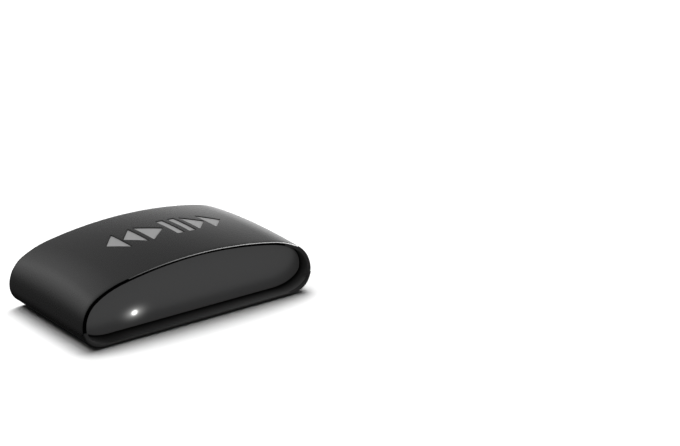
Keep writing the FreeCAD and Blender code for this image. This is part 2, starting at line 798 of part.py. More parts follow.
def make_light():
    """Status light on the board's front edge and the clear guide that carries it to the window."""
    led = box("led_block", "led_x", "board_front + 0.5", BOARD_TOP, "1.6", "0.8", "1.2")
    node("status_led", led)
    start = "-depth / 2 + lens_foot - 1.5"
    bar = rod("guide_rod", "led_x", start, "led_z", "guide", f"board_front - 0.1 - ({start})")
    front = leaning("guide_trim", "-depth", LENS_BACK)
    node("light_guide", cut("guide_trimmed", bar, front))


def make_eye():
    """Infrared receiver: black lens block with a domed lens, in a folded metal holder."""
    front = "board_front + 0.2"
    low = f"{BOARD_TOP} + 0.1"
    block = box("eye_block", "eye_x", f"{front} + eye_depth / 2", low, "eye_width", "eye_depth", "eye_tall")
    dome = doc.addObject("Part::Sphere", "eye_dome")
    bind(dome, Radius="eye_dome")
    bind(dome, Placement__Base__x="eye_x", Placement__Base__y=f"{front} + 0.9", Placement__Base__z="eye_z")
    node("infrared_eye", fuse("eye_solid", [block, dome]))
    middle = f"{front} + eye_depth / 2"
    room_wide, room_tall = "eye_width + 0.1", "eye_tall + 0.15"
    hold_wide, hold_tall = f"{room_wide} + 2 * holder_sheet", f"{room_tall} + holder_sheet"
    hold_y, hold_deep = f"{middle} + 0.2 + holder_sheet / 2", "eye_depth - 0.4 + holder_sheet"
    hold = box("holder_block", "eye_x", hold_y, BOARD_TOP, hold_wide, hold_deep, hold_tall)
    room_y, room_deep = f"{middle} - 2.0", "eye_depth + 4.1"
    room = box("holder_room", "eye_x", room_y, BOARD_TOP, room_wide, room_deep, room_tall)
    node("eye_holder", cut("holder_sheet", hold, room))


# ---------------------------------------------------------------------------- electronics


def make_shield():
    """Fence and lid over the processor and memory, heat pads and the spreader plate above."""
    x, y = "shield_x", "shield_y"
    inner = ("shield_width - 2 * shield_sheet", "shield_depth - 2 * shield_sheet")
    fence = box("fence_block", x, y, BOARD_TOP, "shield_width", "shield_depth", "shield_height")
    room = box("fence_room", x, y, LEVEL, *inner, "height")
    node("shield_fence", cut("fence_ring", fence, room))
    over = ("shield_width + 2 * shield_sheet + 0.1", "shield_depth + 2 * shield_sheet + 0.1")
    low = f"{BOARD_TOP} + 0.6"
    cap = box("lid_block", x, y, low, *over, "shield_height - 0.6 + shield_sheet")
    under = box("lid_room", x, y, low, "shield_width + 0.1", "shield_depth + 0.1", "shield_height - 0.6")
    node("shield_lid", cut("lid_sheet", rounded("lid_rounded", cap, "0.4"), under))
    top = f"{BOARD_TOP} + shield_height + shield_sheet"
    pad, pad_low, pad_tall = "processor_pad", f"{BOARD_TOP} + chip", "shield_height - chip"
    node("processor_pad", box("processor_pad_block", "processor_x", y, pad_low, pad, pad, pad_tall))
    node("spreader_pad", box("spreader_pad_block", x, y, top, "pad_width", "pad_depth", "spreader_pad"))
    middle = "(spreader_front + spreader_back) / 2"
    long = "spreader_back - spreader_front"
    low = f"{top} + spreader_pad"
    plate = box("spreader_blank", LEVEL, middle, low, "spreader_width", long, "spreader")
    holes = cylinders("spreader_hole", post_places(), LEVEL, "post + 0.1", "height")
    node("heat_spreader", cut("spreader_plate", rounded("spreader_rounded", plate, "1.5"), *holes))


def package(name, x, y, wide, deep, tall):
    """A moulded chip with bevelled corners and a dimple at its first contact."""
    block = box(f"{name}_block", x, y, BOARD_TOP, wide, deep, tall)
    body = rounded(f"{name}_body", block, "0.25", bevel=True)
    spot_x, spot_y = f"{x} - {wide} / 2 + 0.9", f"{y} + {deep} / 2 - 0.9"
    spot = cylinder(f"{name}_dimple", spot_x, spot_y, f"{BOARD_TOP} + {tall} - 0.1", "0.4", "1")
    return cut(f"{name}_moulding", body, spot)


def make_chips():
    """Processor, memories, radio, power chip."""
    node("processor", package("soc", "processor_x", "shield_y", "processor", "processor", "chip"))
    node("memory_chip", package("dram", "6.2", "shield_y", "9.0", "12.0", "chip"))
    node("flash_chip", package("flash", "16.4", "1.6", "5.0", "6.0", "0.8"))
    node("radio_chip", package("radio", "-19.2", "-5.6", "6.0", "6.0", "0.85"))
    node("power_chip", package("pmic", "-9.5", "9.4", "4.0", "4.0", "0.8"))


def make_passives():
    """Coils, crystals, ceramic capacitors with their end caps, resistors and the input capacitor."""
    coils = []
    for i, (x, y) in enumerate((("-24.0", "8.0"), ("-15.6", "8.6"), ("-9.2", "14.4"))):
        block = box(f"coil_{i}_block", x, y, BOARD_TOP, "coil", "coil", "coil / 2")
        coils.append(rounded(f"coil_{i}_body", block, "0.6", bevel=True))
    node("power_coils", group("coil_group", coils))
    crystals = []
    for i, (x, y) in enumerate((("-18.2", "-0.2"), ("14.4", "-4.8"))):
        can = box(f"crystal_{i}_block", x, y, BOARD_TOP, "3.2", "2.5", "0.75")
        crystals.append(rounded(f"crystal_{i}_can", can, "0.4"))
    node("crystals", group("crystal_group", crystals))
    input_block = box("input_block", "-24.4", "15.0", BOARD_TOP, "3.4", "2.6", "1.8")
    node("input_capacitor", rounded("input_capacitor_body", input_block, "0.2", bevel=True))
    bodies, ends, resistors = [], [], []
    for i, (x, y) in enumerate(capacitor_places()):
        bodies.append(box(f"capacitor_{i}", f"{x}", f"{y}", BOARD_TOP, "0.9", "0.8", "0.75"))
        for side, end_x in (("left", f"{x - 0.625}"), ("right", f"{x + 0.625}")):
            ends.append(box(f"capacitor_{i}_{side}", end_x, f"{y}", BOARD_TOP, "0.35", "0.84", "0.79"))
    for i, (x, y) in enumerate(resistor_places()):
        resistors.append(box(f"resistor_{i}", f"{x}", f"{y}", BOARD_TOP, "1.0", "0.5", "0.35"))
    node("ceramic_capacitors", group("capacitor_group", bodies))
    node("capacitor_ends", group("capacitor_end_group", ends))
    node("chip_resistors", group("resistor_group", resistors))


def in_rows(rows):
    """Places in rows: each row gives the first x and y, the step to the next, and how many."""
    return [(x + dx * i, y + dy * i) for x, y, dx, dy, count in rows for i in range(count)]


def capacitor_places():
    """Rows of capacitors beside the chips they serve, as (x, y)."""
    return in_rows(
        (
            (-22.4, -9.9, 2.2, 0.0, 4),
            (-12.6, -11.2, 2.2, 0.0, 8),
            (21.4, -7.0, 0.0, 1.5, 4),
            (24.6, -5.0, 0.0, 1.6, 3),
            (-19.6, 7.0, 0.0, 1.5, 3),
            (14.2, 8.0, 0.0, 1.6, 4),
        )
    )


def resistor_places():
    """Rows of resistors, as (x, y)."""
    return in_rows(
        (
            (-24.8, -6.0, 0.0, 1.0, 5),
            (17.0, 8.6, 1.7, 0.0, 5),
            (17.0, 10.0, 1.7, 0.0, 3),
            (17.4, -5.4, 0.0, 1.0, 4),
        )
    )


def make_antennas():
    """Two stamped antennas that stand on the board's ends."""
    y, long, thick = "antenna_y", "antenna_length", "antenna_sheet"
    for name, sign in (("left", "-1"), ("right", "1")):
        x = f"{sign} * (board_width / 2 - 0.6)"
        fin = box(f"antenna_{name}_fin", x, y, f"{BOARD_TOP} + 1.2", thick, long, "3.4")
        legs = [
            box(f"antenna_{name}_leg_{i}", x, leg_y, BOARD_TOP, thick, "0.8", "1.4")
            for i, leg_y in enumerate(("-5.0", "-2.2", "7.0"))
        ]
        top_x, top_low = f"{x} - {sign} * 0.75", f"{BOARD_TOP} + 4.3"
        top = box(f"antenna_{name}_top", top_x, y, top_low, "1.8", long, thick)
        node(f"antenna_{name}", fuse(f"antenna_{name}_sheet", [fin, top, *legs]))


# ---------------------------------------------------------------------------- build and write


def build():
    outer = arched_form("outer_form", LEVEL, "case_bottom")
    cavity = arched_form("cavity_form", "wall", "floor_top - 0.4 - fit_gap")
    fitted = arched_form("fitted_form", "wall + fit_gap", "floor_top - 0.4")
    make_cover(outer, cavity, make_emblem())
    make_case(outer, fitted)
    make_foot()
    make_window(fitted)
    make_board()
    make_screws()
    make_hdmi()
    make_usb()
    make_reset()
    make_light()
    make_eye()
    make_shield()
    make_chips()
    make_passives()
    make_antennas()
    doc.recompute()


def check():
    """Stops on any failed object or unsound sub-part."""
    failed = [thing.Name for thing in doc.Objects if {"Invalid", "Error"} & set(thing.State)]
    unsound = [name for name, thing in nodes.items() if thing.Shape.isNull() or not thing.Shape.isValid()]
    empty = [name for name, thing in nodes.items() if not thing.Shape.Solids]
    if failed or unsound or empty:
        raise SystemExit(f"failed objects {failed}, unsound {unsound}, empty {empty}")


def write():
    os.makedirs("parts", exist_ok=True)
    for name, thing in nodes.items():
        thing.Shape.exportStep(f"parts/{name}.step")
        print(name, len(thing.Shape.Solids), round(thing.Shape.Volume, 2))


build()
check()
write()
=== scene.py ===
"""Streaming media player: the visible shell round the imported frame, materials, floor, lights and camera."""

import json
import math

import bmesh
import bpy
import numpy as np
from mathutils import Matrix, Vector
from mathutils.geometry import delaunay_2d_cdt


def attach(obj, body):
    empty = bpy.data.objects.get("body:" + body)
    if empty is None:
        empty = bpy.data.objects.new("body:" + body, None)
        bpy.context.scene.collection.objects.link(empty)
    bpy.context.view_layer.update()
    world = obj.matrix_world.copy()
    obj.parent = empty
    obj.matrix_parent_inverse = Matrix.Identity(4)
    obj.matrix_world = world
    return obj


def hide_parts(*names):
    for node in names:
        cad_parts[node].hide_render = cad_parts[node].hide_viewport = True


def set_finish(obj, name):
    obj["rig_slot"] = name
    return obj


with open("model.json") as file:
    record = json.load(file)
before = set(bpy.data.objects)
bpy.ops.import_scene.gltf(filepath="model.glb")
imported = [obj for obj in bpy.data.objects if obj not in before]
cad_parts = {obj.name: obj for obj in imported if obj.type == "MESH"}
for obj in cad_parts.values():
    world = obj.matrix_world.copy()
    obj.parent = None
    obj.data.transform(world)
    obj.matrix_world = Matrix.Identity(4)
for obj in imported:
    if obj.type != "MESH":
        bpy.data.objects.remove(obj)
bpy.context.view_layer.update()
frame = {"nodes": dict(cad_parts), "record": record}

MM = 0.001

# ---------------------------------------------------------------------------- sizes, in millimetres

# The whole player. The belly is the height at which it is widest.
HALF_WIDTH = 35.5
HALF_DEPTH = 19.4
BELLY = 6.3

# The gap under the tray, and the radius of the tray's quarter-round sides.
FLOOR_CLEAR = 0.6
TRAY_ARC = BELLY - FLOOR_CLEAR

# How far the front leans back for each millimetre of height.
RAKE = math.tan(math.radians(2.4))

# The arch at mid depth, and at the front and back: radii of the top, shoulder and side, then the height.
MIDDLE = (110.5, 28.6, 9.8, 19.994)
EDGE = (121.9, 26.8, 8.3, 18.65)
# Points along each half of the arch: on the top, the shoulder and the side.
COUNTS = (44, 18, 22)

# The cover: height of its lower edge, rounding of its lower front corners, wall thickness and rims.
SEAM = 4.2
SEAM_GAP = 0.02
CORNER = 2.0
WALL_TOP = 0.72
WALL_SIDE = 1.05
BEVEL = 0.3
INNER_BEVEL = 0.08

# The mouth: width and height of its rounded lower corners, and the height of its floor.
MOUTH_CORNER = (8.3, 5.0)
LEDGE = 1.3

# The tray: its outer and inner rims as (reach along y, share of the wall), and its two front hooks, which
# reach up to a share of the cover's corner and stand a little proud of it.
TRAY_OUTER = (0.22, 0.22)
TRAY_INNER = (1.8, 0.55)
HOOK_SHARE = 0.62
HOOK_PROUD = 0.06

# The window: the y of its foot, how far it leans back for each millimetre of height, and the depth in the
# mouth that its outline is taken from.
WINDOW_FOOT = -14.6
WINDOW_LEAN = 0.159
WINDOW_DEPTH = -16.4
WINDOW_GAP = 0.3
WINDOW_GAP_LOW = 0.25
WINDOW_THICK = 1.2
WINDOW_BEVEL = 0.3

# The black gasket behind the window: the depth its outline is taken from, its gap, setback and thickness.
GASKET_DEPTH = -15.6
GASKET_GAP = 0.02
GASKET_BACK = 0.9
GASKET_THICK = 1.2

# The rear wall: sockets are (x, width, height) and stand on the board. RESET is the button's x and z.
REAR_FACE = 18.6
REAR_GAP = 0.06
REAR_THICK = 1.2
REAR_BEVEL = 0.12
BOARD_TOP = 5.0
SOCKET_CLEAR = 0.3
VIDEO_SOCKET = (3.0, 15.0, 5.9)
POWER_SOCKET = (-17.0, 7.8, 2.9)
RESET = (20.0, 7.1)
RESET_HOLE = 1.68

# The reset button: radius and back of its flange, radius and front of its cap, and the cap's rounding.
FLANGE_RADIUS = 2.0
FLANGE_BACK = 16.6
FLANGE_FRONT = 17.35
CAP_RADIUS = 1.6
CAP_FRONT = 18.7
CAP_ROUND = 0.3

# The foot pad: half its width and depth, corner radius, thickness and rim.
FOOT_HALF = (31.4, 18.1)
FOOT_CORNER = 4.0
FOOT_THICK = 1.25
FOOT_BEVEL = 0.25

# The emblem: centre, overall size, then the sizes of each symbol and the gap between them.
EMBLEM = {"x": 1.4, "y": 0.4, "span": 36.0, "tall": 11.4, "arrow": 5.0, "play": 6.4, "bar": 2.2, "gap": 1.2}
# Heights from the cover's surface of its recess and of the inlays' tops, and the gap round the inlays.
RECESS_FLOOR = -0.44
INLAY_TOP = -0.26
INLAY_GAP = 0.12
# How far the cutters that make the recess stand above the surface.
CUTTER_TOP = 3.0

# The status light's glow, as x and z on the window.
GLOW = (-18.2, 5.7)

# Where the look of the cover's front edge changes, along x: the near-black painted shade on the left ends and
# the rim's painted highlight starts, the painted highlight is at its brightest, the painted glint starts and
# ends, and the tray's dull plastic, as painted shade, starts at the right.
EDGE_END = -21.3
RIM_BRIGHT = 26
GLINT = (26.5, 31.5)
RIGHT_END = 27
# Inner faces in front of this y are seen through the mouth.
MOUTH_BACK = -12
# The cover's materials, in the order of their indices.
COVER_LAYERS = (
    "cover_plastic",
    "edge_painted_shade",
    "rim_painted_highlight",
    "ledge_painted_shade_and_light",
    "glint_plastic",
    "case_plastic",
)

# Constant emission of the window: a faint painted glow all over, which lifts its darker parts.
PAINTED_GLOW = 0.014


# ---------------------------------------------------------------------------- the arched form


def arch_angles(top, shoulder, side, rise):
    """Where the three tangent arcs meet, in radians from the vertical, by Newton's method."""
    a, b = 0.2, 0.5
    for _ in range(40):
        up_a, across_a = (top - shoulder) * math.cos(a), (top - shoulder) * math.sin(a)
        up_b, across_b = (shoulder - side) * math.cos(b), (shoulder - side) * math.sin(b)
        too_wide = across_a + across_b + side - HALF_WIDTH
        too_high = top - up_a - up_b - rise
        scale = up_a * across_b - up_b * across_a
        a -= (too_wide * across_b - too_high * up_b) / scale
        b -= (too_high * up_a - too_wide * across_a) / scale
    return a, b


def half_arch(form, counts):
    """Points and outward normals from the crown down to the belly, as two (n, 2) arrays of x and z."""
    top, shoulder, side, height = form
    a, b = arch_angles(top, shoulder, side, height - BELLY)
    centre_top = np.array([0.0, height - top])
    centre_shoulder = centre_top + np.array([math.sin(a), math.cos(a)]) * (top - shoulder)
    centre_side = np.array([HALF_WIDTH - side, BELLY])
    stretches = (
        (centre_top, top, 0.0, a, counts[0]),
        (centre_shoulder, shoulder, a, b, counts[1]),
        (centre_side, side, b, math.pi / 2, counts[2]),
    )
    points, normals = [], []
    for centre, radius, start, end, count in stretches:
        for i in range(count):
            angle = start + (end - start) * i / count
            normal = np.array([math.sin(angle), math.cos(angle)])
            points.append(centre + radius * normal)
            normals.append(normal)
    return np.array(points), np.array(normals)


FORM_POINTS = {form: half_arch(form, COUNTS) for form in (MIDDLE, EDGE)}

# The cover's wall thickness at each point of the half arch, thinner over the top than at the sides.
CROWN_SHARE = np.clip(1 - np.arange(sum(COUNTS)) / sum(COUNTS[:2]), 0, 1) ** 0.5
WALL = WALL_SIDE + (WALL_TOP - WALL_SIDE) * CROWN_SHARE


def upper_half(y, inset):
    """The right half of the arch at depth y, drawn in by inset (a number, or one for each point)."""
    share = min(1.0, (y / HALF_DEPTH) ** 2)
    (mid, mid_n), (edge, edge_n) = FORM_POINTS[MIDDLE], FORM_POINTS[EDGE]
    inset = np.broadcast_to(inset, len(mid))[:, None]
    return (mid - inset * mid_n) * (1 - share) + (edge - inset * edge_n) * share


def lower_x(z, depth_in):
    """Half width below the belly: the outer quarter arc at depth_in 0, the mouth's rounded corner at 1."""
    drop = np.clip(BELLY - np.asarray(z, float), 0, None)
    outer = HALF_WIDTH - TRAY_ARC + np.sqrt(np.clip(TRAY_ARC**2 - drop**2, 0, None))
    wide, tall = MOUTH_CORNER
    inner = HALF_WIDTH - WALL_SIDE - wide + wide * np.sqrt(np.clip(1 - (drop / tall) ** 2, 0, None))
    return outer + (inner - outer) * depth_in


# ---------------------------------------------------------------------------- mesh helpers


def loose(name, verts, faces, sharp=32):
    """A smooth-shaded mesh object from points in millimetres, on no body yet."""
    mesh = bpy.data.meshes.new(name)
    mesh.from_pydata([[c * MM for c in v] for v in verts], [], faces)
    piece = bpy.data.objects.new(name, mesh)
    bpy.context.scene.collection.objects.link(piece)
    finish_mesh(piece, sharp)
    return piece


def new_piece(name, verts, faces, body, sharp=32):
    """The same, riding on a body."""
    piece = loose(name, verts, faces, sharp)
    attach(piece, body)
    return piece


def finish_mesh(piece, sharp=32):
    """Makes normals point out and marks the edges that stay sharp."""
    work = bmesh.new()
    work.from_mesh(piece.data)
    bmesh.ops.remove_doubles(work, verts=work.verts, dist=1e-7)
    bmesh.ops.recalc_face_normals(work, faces=work.faces)
    work.to_mesh(piece.data)
    work.free()
    piece.data.polygons.foreach_set("use_smooth", [True] * len(piece.data.polygons))
    piece.data.set_sharp_from_angle(angle=math.radians(sharp))


def apply_modifiers(piece):
    """Turns the evaluated mesh into the piece's own."""
    bpy.context.view_layer.update()
    graph = bpy.context.evaluated_depsgraph_get()
    made = bpy.data.meshes.new_from_object(piece.evaluated_get(graph))
    piece.modifiers.clear()
    old = piece.data
    piece.data = made
    bpy.data.meshes.remove(old)


def carve(piece, cutters):
    """Cuts the cutters out of a piece and removes them."""
    for cutter in cutters:
        cutting = piece.modifiers.new("cut", "BOOLEAN")
        cutting.operation = "DIFFERENCE"
        cutting.solver = "EXACT"
        cutting.object = cutter
    apply_modifiers(piece)
    for cutter in cutters:
        bpy.data.objects.remove(cutter)


def soften(piece, width, segments):
    """Rounds the piece's sharp edges."""
    bevel = piece.modifiers.new("edges", "BEVEL")
    bevel.width = width * MM
    bevel.segments = segments
    bevel.limit_method = "ANGLE"
    bevel.angle_limit = math.radians(40)
    apply_modifiers(piece)


def flatten(piece):
    """Lets the large flat faces keep their own normals beside rounded rims."""
    weigh = piece.modifiers.new("normals", "WEIGHTED_NORMAL")
    weigh.keep_sharp = True


def solid_through(rings):
    """Points and faces of a closed solid through closed rings of equal length, with its two ends filled."""
    count = len(rings[0])
    verts = [v for ring in rings for v in ring]
    faces = []
    for r in range(len(rings) - 1):
        for i in range(count):
            j = (i + 1) % count
            a, b = r * count, (r + 1) * count
            faces.append((a + i, a + j, b + j, b + i))
    faces.append(tuple(range(count)))
    faces.append(tuple(range(len(verts) - count, len(verts))))
    return verts, faces


def offset_loop(loop, amount):
    """A closed (n, 2) outline moved inward along its own normals."""
    ahead, behind = np.roll(loop, -1, 0), np.roll(loop, 1, 0)
    along = ahead - behind
    along /= np.linalg.norm(along, axis=1)[:, None]
    normal = np.stack([along[:, 1], -along[:, 0]], 1)
    area = np.sum(loop[:, 0] * ahead[:, 1] - loop[:, 1] * ahead[:, 0])
    return loop - normal * amount * np.sign(area)


def rounded_outline(corners, radius, steps=5):
    """A closed polygon with its corners rounded by arcs."""
    out = []
    count = len(corners)
    for i in range(count):
        here, back, ahead = (np.array(corners[k % count], float) for k in (i, i - 1, i + 1))
        to_back, to_ahead = back - here, ahead - here
        to_back /= np.linalg.norm(to_back)
        to_ahead /= np.linalg.norm(to_ahead)
        half = math.acos(np.clip(to_back @ to_ahead, -1, 1)) / 2
        reach = radius / math.tan(half)
        start, end = here + to_back * reach, here + to_ahead * reach
        bisector = to_back + to_ahead
        centre = here + bisector / np.linalg.norm(bisector) * radius / math.sin(half)
        a0 = math.atan2(*(start - centre)[::-1])
        a1 = math.atan2(*(end - centre)[::-1])
        turn = (a1 - a0 + math.pi) % (2 * math.pi) - math.pi
        for k in range(steps + 1):
            angle = a0 + turn * k / steps
            out.append(centre + radius * np.array([math.cos(angle), math.sin(angle)]))
    return np.array(out)


def plate(name, loop, place, thick, bevel, body, steps=4):
    """A plate with a rounded front rim from a closed 2-D outline. place(u, v, depth) gives the 3-D point."""
    rings = []
    for k in range(steps + 1):
        angle = math.pi / 2 * k / steps
        rings.append((offset_loop(loop, bevel * (1 - math.sin(angle))), bevel * (1 - math.cos(angle))))
    rings.append((loop, thick))
    verts, faces = solid_through([[place(u, v, depth) for u, v in ring] for ring, depth in rings])
    piece = new_piece(name, verts, faces, body)
    flatten(piece)
    return piece


# ---------------------------------------------------------------------------- cover


def corner_back(z):
    """How far the cover's lower front corner is rounded back at height z."""
    drop = SEAM + CORNER - z
    return CORNER - math.sqrt(max(0.0, CORNER**2 - drop**2)) if drop > 0 else 0.0


def rim_arc(y, way, reach, share, inside=False):
    """A rounded rim from the face at y onto the outside, or the inside, as (y, depth_in) points.

    way is the sign of y that leads into the wall. The arc takes up reach along y, and share of the wall.
    """
    arc = []
    for angle in np.linspace(0, math.pi / 2, 6):
        depth_in = share * (1 - math.sin(angle))
        arc.append((y + way * reach * (1 - math.cos(angle)), 1 - depth_in if inside else depth_in))
    return arc


def wall_loop(front, back, outer, inner, rows):
    """The loop of (y, depth_in) round a wall: front rim, outside, back rim, inside."""
    span = back - front
    reach_out, reach_in = min(outer[0], span / 3), min(inner[0], span / 3)
    loop = rim_arc(front, 1, reach_out, outer[1])
    ends = (front + reach_out, back - reach_out)
    loop += [(ends[0] + (ends[1] - ends[0]) * k / rows, 0.0) for k in range(1, rows)]
    loop += rim_arc(back, -1, reach_out, outer[1])[::-1]
    loop += rim_arc(back, -1, reach_in, inner[1], inside=True)
    ends = (back - reach_in, front + reach_in)
    loop += [(ends[0] + (ends[1] - ends[0]) * k / rows, 1.0) for k in range(1, rows)]
    loop += rim_arc(front, 1, reach_in, inner[1], inside=True)[::-1]
    return loop


def closed_band(name, rings, body, sharp=32):
    """A piece that follows a row of closed rings."""
    verts, faces = solid_through(rings)
    return new_piece(name, verts, faces, body, sharp)


def make_cover():
    """The arched band, with the emblem's recess in its top."""
    turn = [SEAM + CORNER * (1 - math.cos(t)) for t in np.linspace(math.pi / 2, 0, 9)]
    upper = sum(COUNTS)
    halves = {}

    def arch_point(side, index, y, depth_in):
        """A point of the band. Equal depths share one half arch."""
        if index >= upper:
            z = turn[index - upper]
            return side * float(lower_x(z, depth_in)), y, z
        key = (round(y, 3), round(depth_in, 4))
        if key not in halves:
            halves[key] = upper_half(y, WALL * depth_in)
        x, z = halves[key][index]
        return side * x, y, z

    rings = []
    last = upper + len(turn) - 1
    for side, index in [(-1, i) for i in range(last, 0, -1)] + [(1, i) for i in range(last + 1)]:
        z = turn[index - upper] if index >= upper else FORM_POINTS[EDGE][0][index][1]
        front = -HALF_DEPTH + RAKE * z + corner_back(z)
        thick = WALL[min(index, upper - 1)]
        outer, inner = (BEVEL, BEVEL / thick), (INNER_BEVEL, INNER_BEVEL / thick)
        loop = wall_loop(front, HALF_DEPTH, outer, inner, 30)
        rings.append([arch_point(side, index, y, depth_in) for y, depth_in in loop])
    cover = closed_band("cover", rings, "player")
    outlines = enumerate(glyphs(0.0))
    carve(cover, [glyph_solid(f"cutter_{i}", loop, RECESS_FLOOR, CUTTER_TOP) for i, loop in outlines])
    finish_mesh(cover)
    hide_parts("top_cover")
    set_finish(cover, "cover_plastic")
    return cover


# ---------------------------------------------------------------------------- emblem


def crown(x, y):
    """Height of the cover's outside at a point of its top."""
    share = min(1.0, (y / HALF_DEPTH) ** 2)
    middle, edge = (np.interp(abs(x), *FORM_POINTS[form][0].T) for form in (MIDDLE, EDGE))
    return middle * (1 - share) + edge * share


def glyphs(inset):
    """Rounded outlines of the four transport symbols: back, play, pause and forward."""
    e = EMBLEM
    low, high = -e["tall"] / 2, e["tall"] / 2
    end, arrow, notch = e["span"] / 2, e["arrow"], e["gap"] / 6
    inner = end - 2 * arrow - notch
    play = e["gap"] - inner
    pause = inner - e["gap"]
    gap = 1.2 * e["gap"]

    def triangle(base, tip):
        return [(base, low), (tip, 0.0), (base, high)]

    def bar(left):
        right = left + e["bar"]
        return [(left, low), (right, low), (right, high), (left, high)]

    shapes = [
        triangle(arrow - end, -end),
        triangle(-inner, arrow + notch - end),
        triangle(play, play + e["play"]),
        bar(pause - 2 * e["bar"] - gap),
        bar(pause - e["bar"]),
        triangle(inner, end - arrow - notch),
        triangle(end - arrow, end),
    ]
    loops = [rounded_outline(shape, 0.22) + np.array([e["x"], e["y"]]) for shape in shapes]
    return [offset_loop(loop, inset) for loop in loops]


def fill_outline(loop, pitch=0.8):
    """Triangles inside a closed outline, with inner points on a grid. Returns (points, triangles)."""
    dense = []
    for i, here in enumerate(loop):
        ahead = loop[(i + 1) % len(loop)]
        parts = max(1, int(np.linalg.norm(ahead - here) / pitch))
        dense += [here + (ahead - here) * k / parts for k in range(parts)]
    rim = len(dense)
    low, high = loop.min(0), loop.max(0)
    inside = [
        np.array([x, y])
        for x in np.arange(low[0] + pitch / 2, high[0], pitch)
        for y in np.arange(low[1] + pitch / 2, high[1], pitch)
    ]
    points = [Vector(p) for p in dense + inside]
    edges = [(i, (i + 1) % rim) for i in range(rim)]
    out = delaunay_2d_cdt(points, edges, [], 1, 1e-6)
    return [np.array(p) for p in out[0]], [tuple(f) for f in out[2]]


def glyph_solid(name, loop, low, high):
    """A closed solid over an outline, between two heights measured from the cover's surface."""
    points, triangles = fill_outline(loop)
    count = len(points)
    verts = [(x, y, crown(x, y) + height) for height in (low, high) for x, y in points]
    faces = [tuple(reversed(t)) for t in triangles] + [tuple(i + count for i in t) for t in triangles]
    edges = [(t[k], t[(k + 1) % 3]) for t in triangles for k in range(3)]
    shared = set(edges)
    faces += [(a, b, b + count, a + count) for a, b in edges if (b, a) not in shared]
    return loose(name, verts, faces)


def make_emblem():
    """The symbols' grey inlays at the bottom of the recess."""
    outlines = enumerate(glyphs(INLAY_GAP))
    parts = [glyph_solid(f"glyph_{i}", loop, RECESS_FLOOR, INLAY_TOP) for i, loop in outlines]
    work = bmesh.new()
    for part in parts:
        work.from_mesh(part.data)
        bpy.data.objects.remove(part)
    mesh = bpy.data.meshes.new("emblem")
    work.to_mesh(mesh)
    work.free()
    emblem = bpy.data.objects.new("emblem", mesh)
    bpy.context.scene.collection.objects.link(emblem)
    finish_mesh(emblem)
    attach(emblem, "player")
    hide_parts("top_emblem")
    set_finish(emblem, "emblem_print")
    return emblem


# ---------------------------------------------------------------------------- window


def window_place(u, v, depth):
    """A point of the window: u across, v up, depth behind its face."""
    return u, WINDOW_FOOT - WINDOW_LEAN * v + depth, v


def mouth_outline(y, gap, gap_low):
    """The mouth's inside in x and z at depth y, drawn in by a gap, and by gap_low at its floor."""
    right = upper_half(y, WALL + gap)
    wide, tall = MOUTH_CORNER
    angles = np.linspace(0, math.pi / 2, 16)
    across = HALF_WIDTH - WALL_SIDE - gap - wide + wide * np.cos(angles)
    right = np.concatenate([right, np.stack([across, BELLY - (tall - gap_low) * np.sin(angles)], 1)])
    floor = np.stack([np.linspace(right[-1, 0], -right[-1, 0], 40)[1:-1], np.full(38, right[-1, 1])], 1)
    left = right[1:][::-1] * np.array([-1, 1])
    return np.concatenate([right, floor, left])


def behind_window(u, v, depth):
    """A point of the black gasket behind the window."""
    return window_place(u, v, depth + GASKET_BACK)


def make_window():
    """The dark window, and the black gasket that closes the gap round it."""
    outline = mouth_outline(WINDOW_DEPTH, WINDOW_GAP, WINDOW_GAP_LOW)
    window = plate("window", outline, window_place, WINDOW_THICK, WINDOW_BEVEL, "player")
    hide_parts("front_window")
    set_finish(window, "window_plastic")
    outline = mouth_outline(GASKET_DEPTH, GASKET_GAP, GASKET_GAP)
    backing = plate("window_backing", outline, behind_window, GASKET_THICK, 0.01, "player", steps=1)
    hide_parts("window_tape")
    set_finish(backing, "tape_foam")
    return window, backing


# ---------------------------------------------------------------------------- tray and rear wall


def tray_section():
    """Right half of the tray's section, from the seam to the middle: rows of (outer, inner) points."""
    top = SEAM - SEAM_GAP
    wide, tall = MOUTH_CORNER
    outer_from, inner_from = math.asin((BELLY - top) / TRAY_ARC), math.asin((BELLY - top) / tall)
    rows = []
    for t in np.linspace(0, 1, 24):
        a = outer_from + (math.pi / 2 - outer_from) * t
        b = inner_from + (math.pi / 2 - inner_from) * t
        outer = (HALF_WIDTH - TRAY_ARC + TRAY_ARC * math.cos(a), BELLY - TRAY_ARC * math.sin(a))
        inner = (HALF_WIDTH - WALL_SIDE - wide + wide * math.cos(b), BELLY - tall * math.sin(b))
        rows.append((outer, inner))
    (outer_x, _), (inner_x, _) = rows[-1]
    for share in np.linspace(1, 0, 40)[1:]:
        rows.append(((outer_x * share, FLOOR_CLEAR), (inner_x * share, LEDGE)))
    return rows


def make_tray():
    """The tray's shell, with a ledge in front of the window and hooks that fill the cover's front corners."""
    rows = []
    for z in np.linspace(SEAM + HOOK_SHARE * CORNER, SEAM - SEAM_GAP, 9):
        ends = ((float(lower_x(z, 0)), z), (float(lower_x(z, 1)), z))
        rows.append((*ends, -HALF_DEPTH + RAKE * z + corner_back(z) - HOOK_PROUD))
    rows += [(*ends, HALF_DEPTH) for ends in tray_section()]
    rings = []
    for side, row in [(-1, row) for row in rows[:-1]] + [(1, row) for row in rows[::-1]]:
        (out_x, out_z), (in_x, in_z), back = row
        front = -HALF_DEPTH + RAKE * out_z
        ring = []
        for y, depth_in in wall_loop(front, back, TRAY_OUTER, TRAY_INNER, 12):
            x, z = out_x + (in_x - out_x) * depth_in, out_z + (in_z - out_z) * depth_in
            ring.append((side * x, y, z))
        rings.append(ring)
    tray = closed_band("tray", rings, "player", sharp=45)
    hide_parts("bottom_case")
    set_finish(tray, "case_plastic")
    return tray


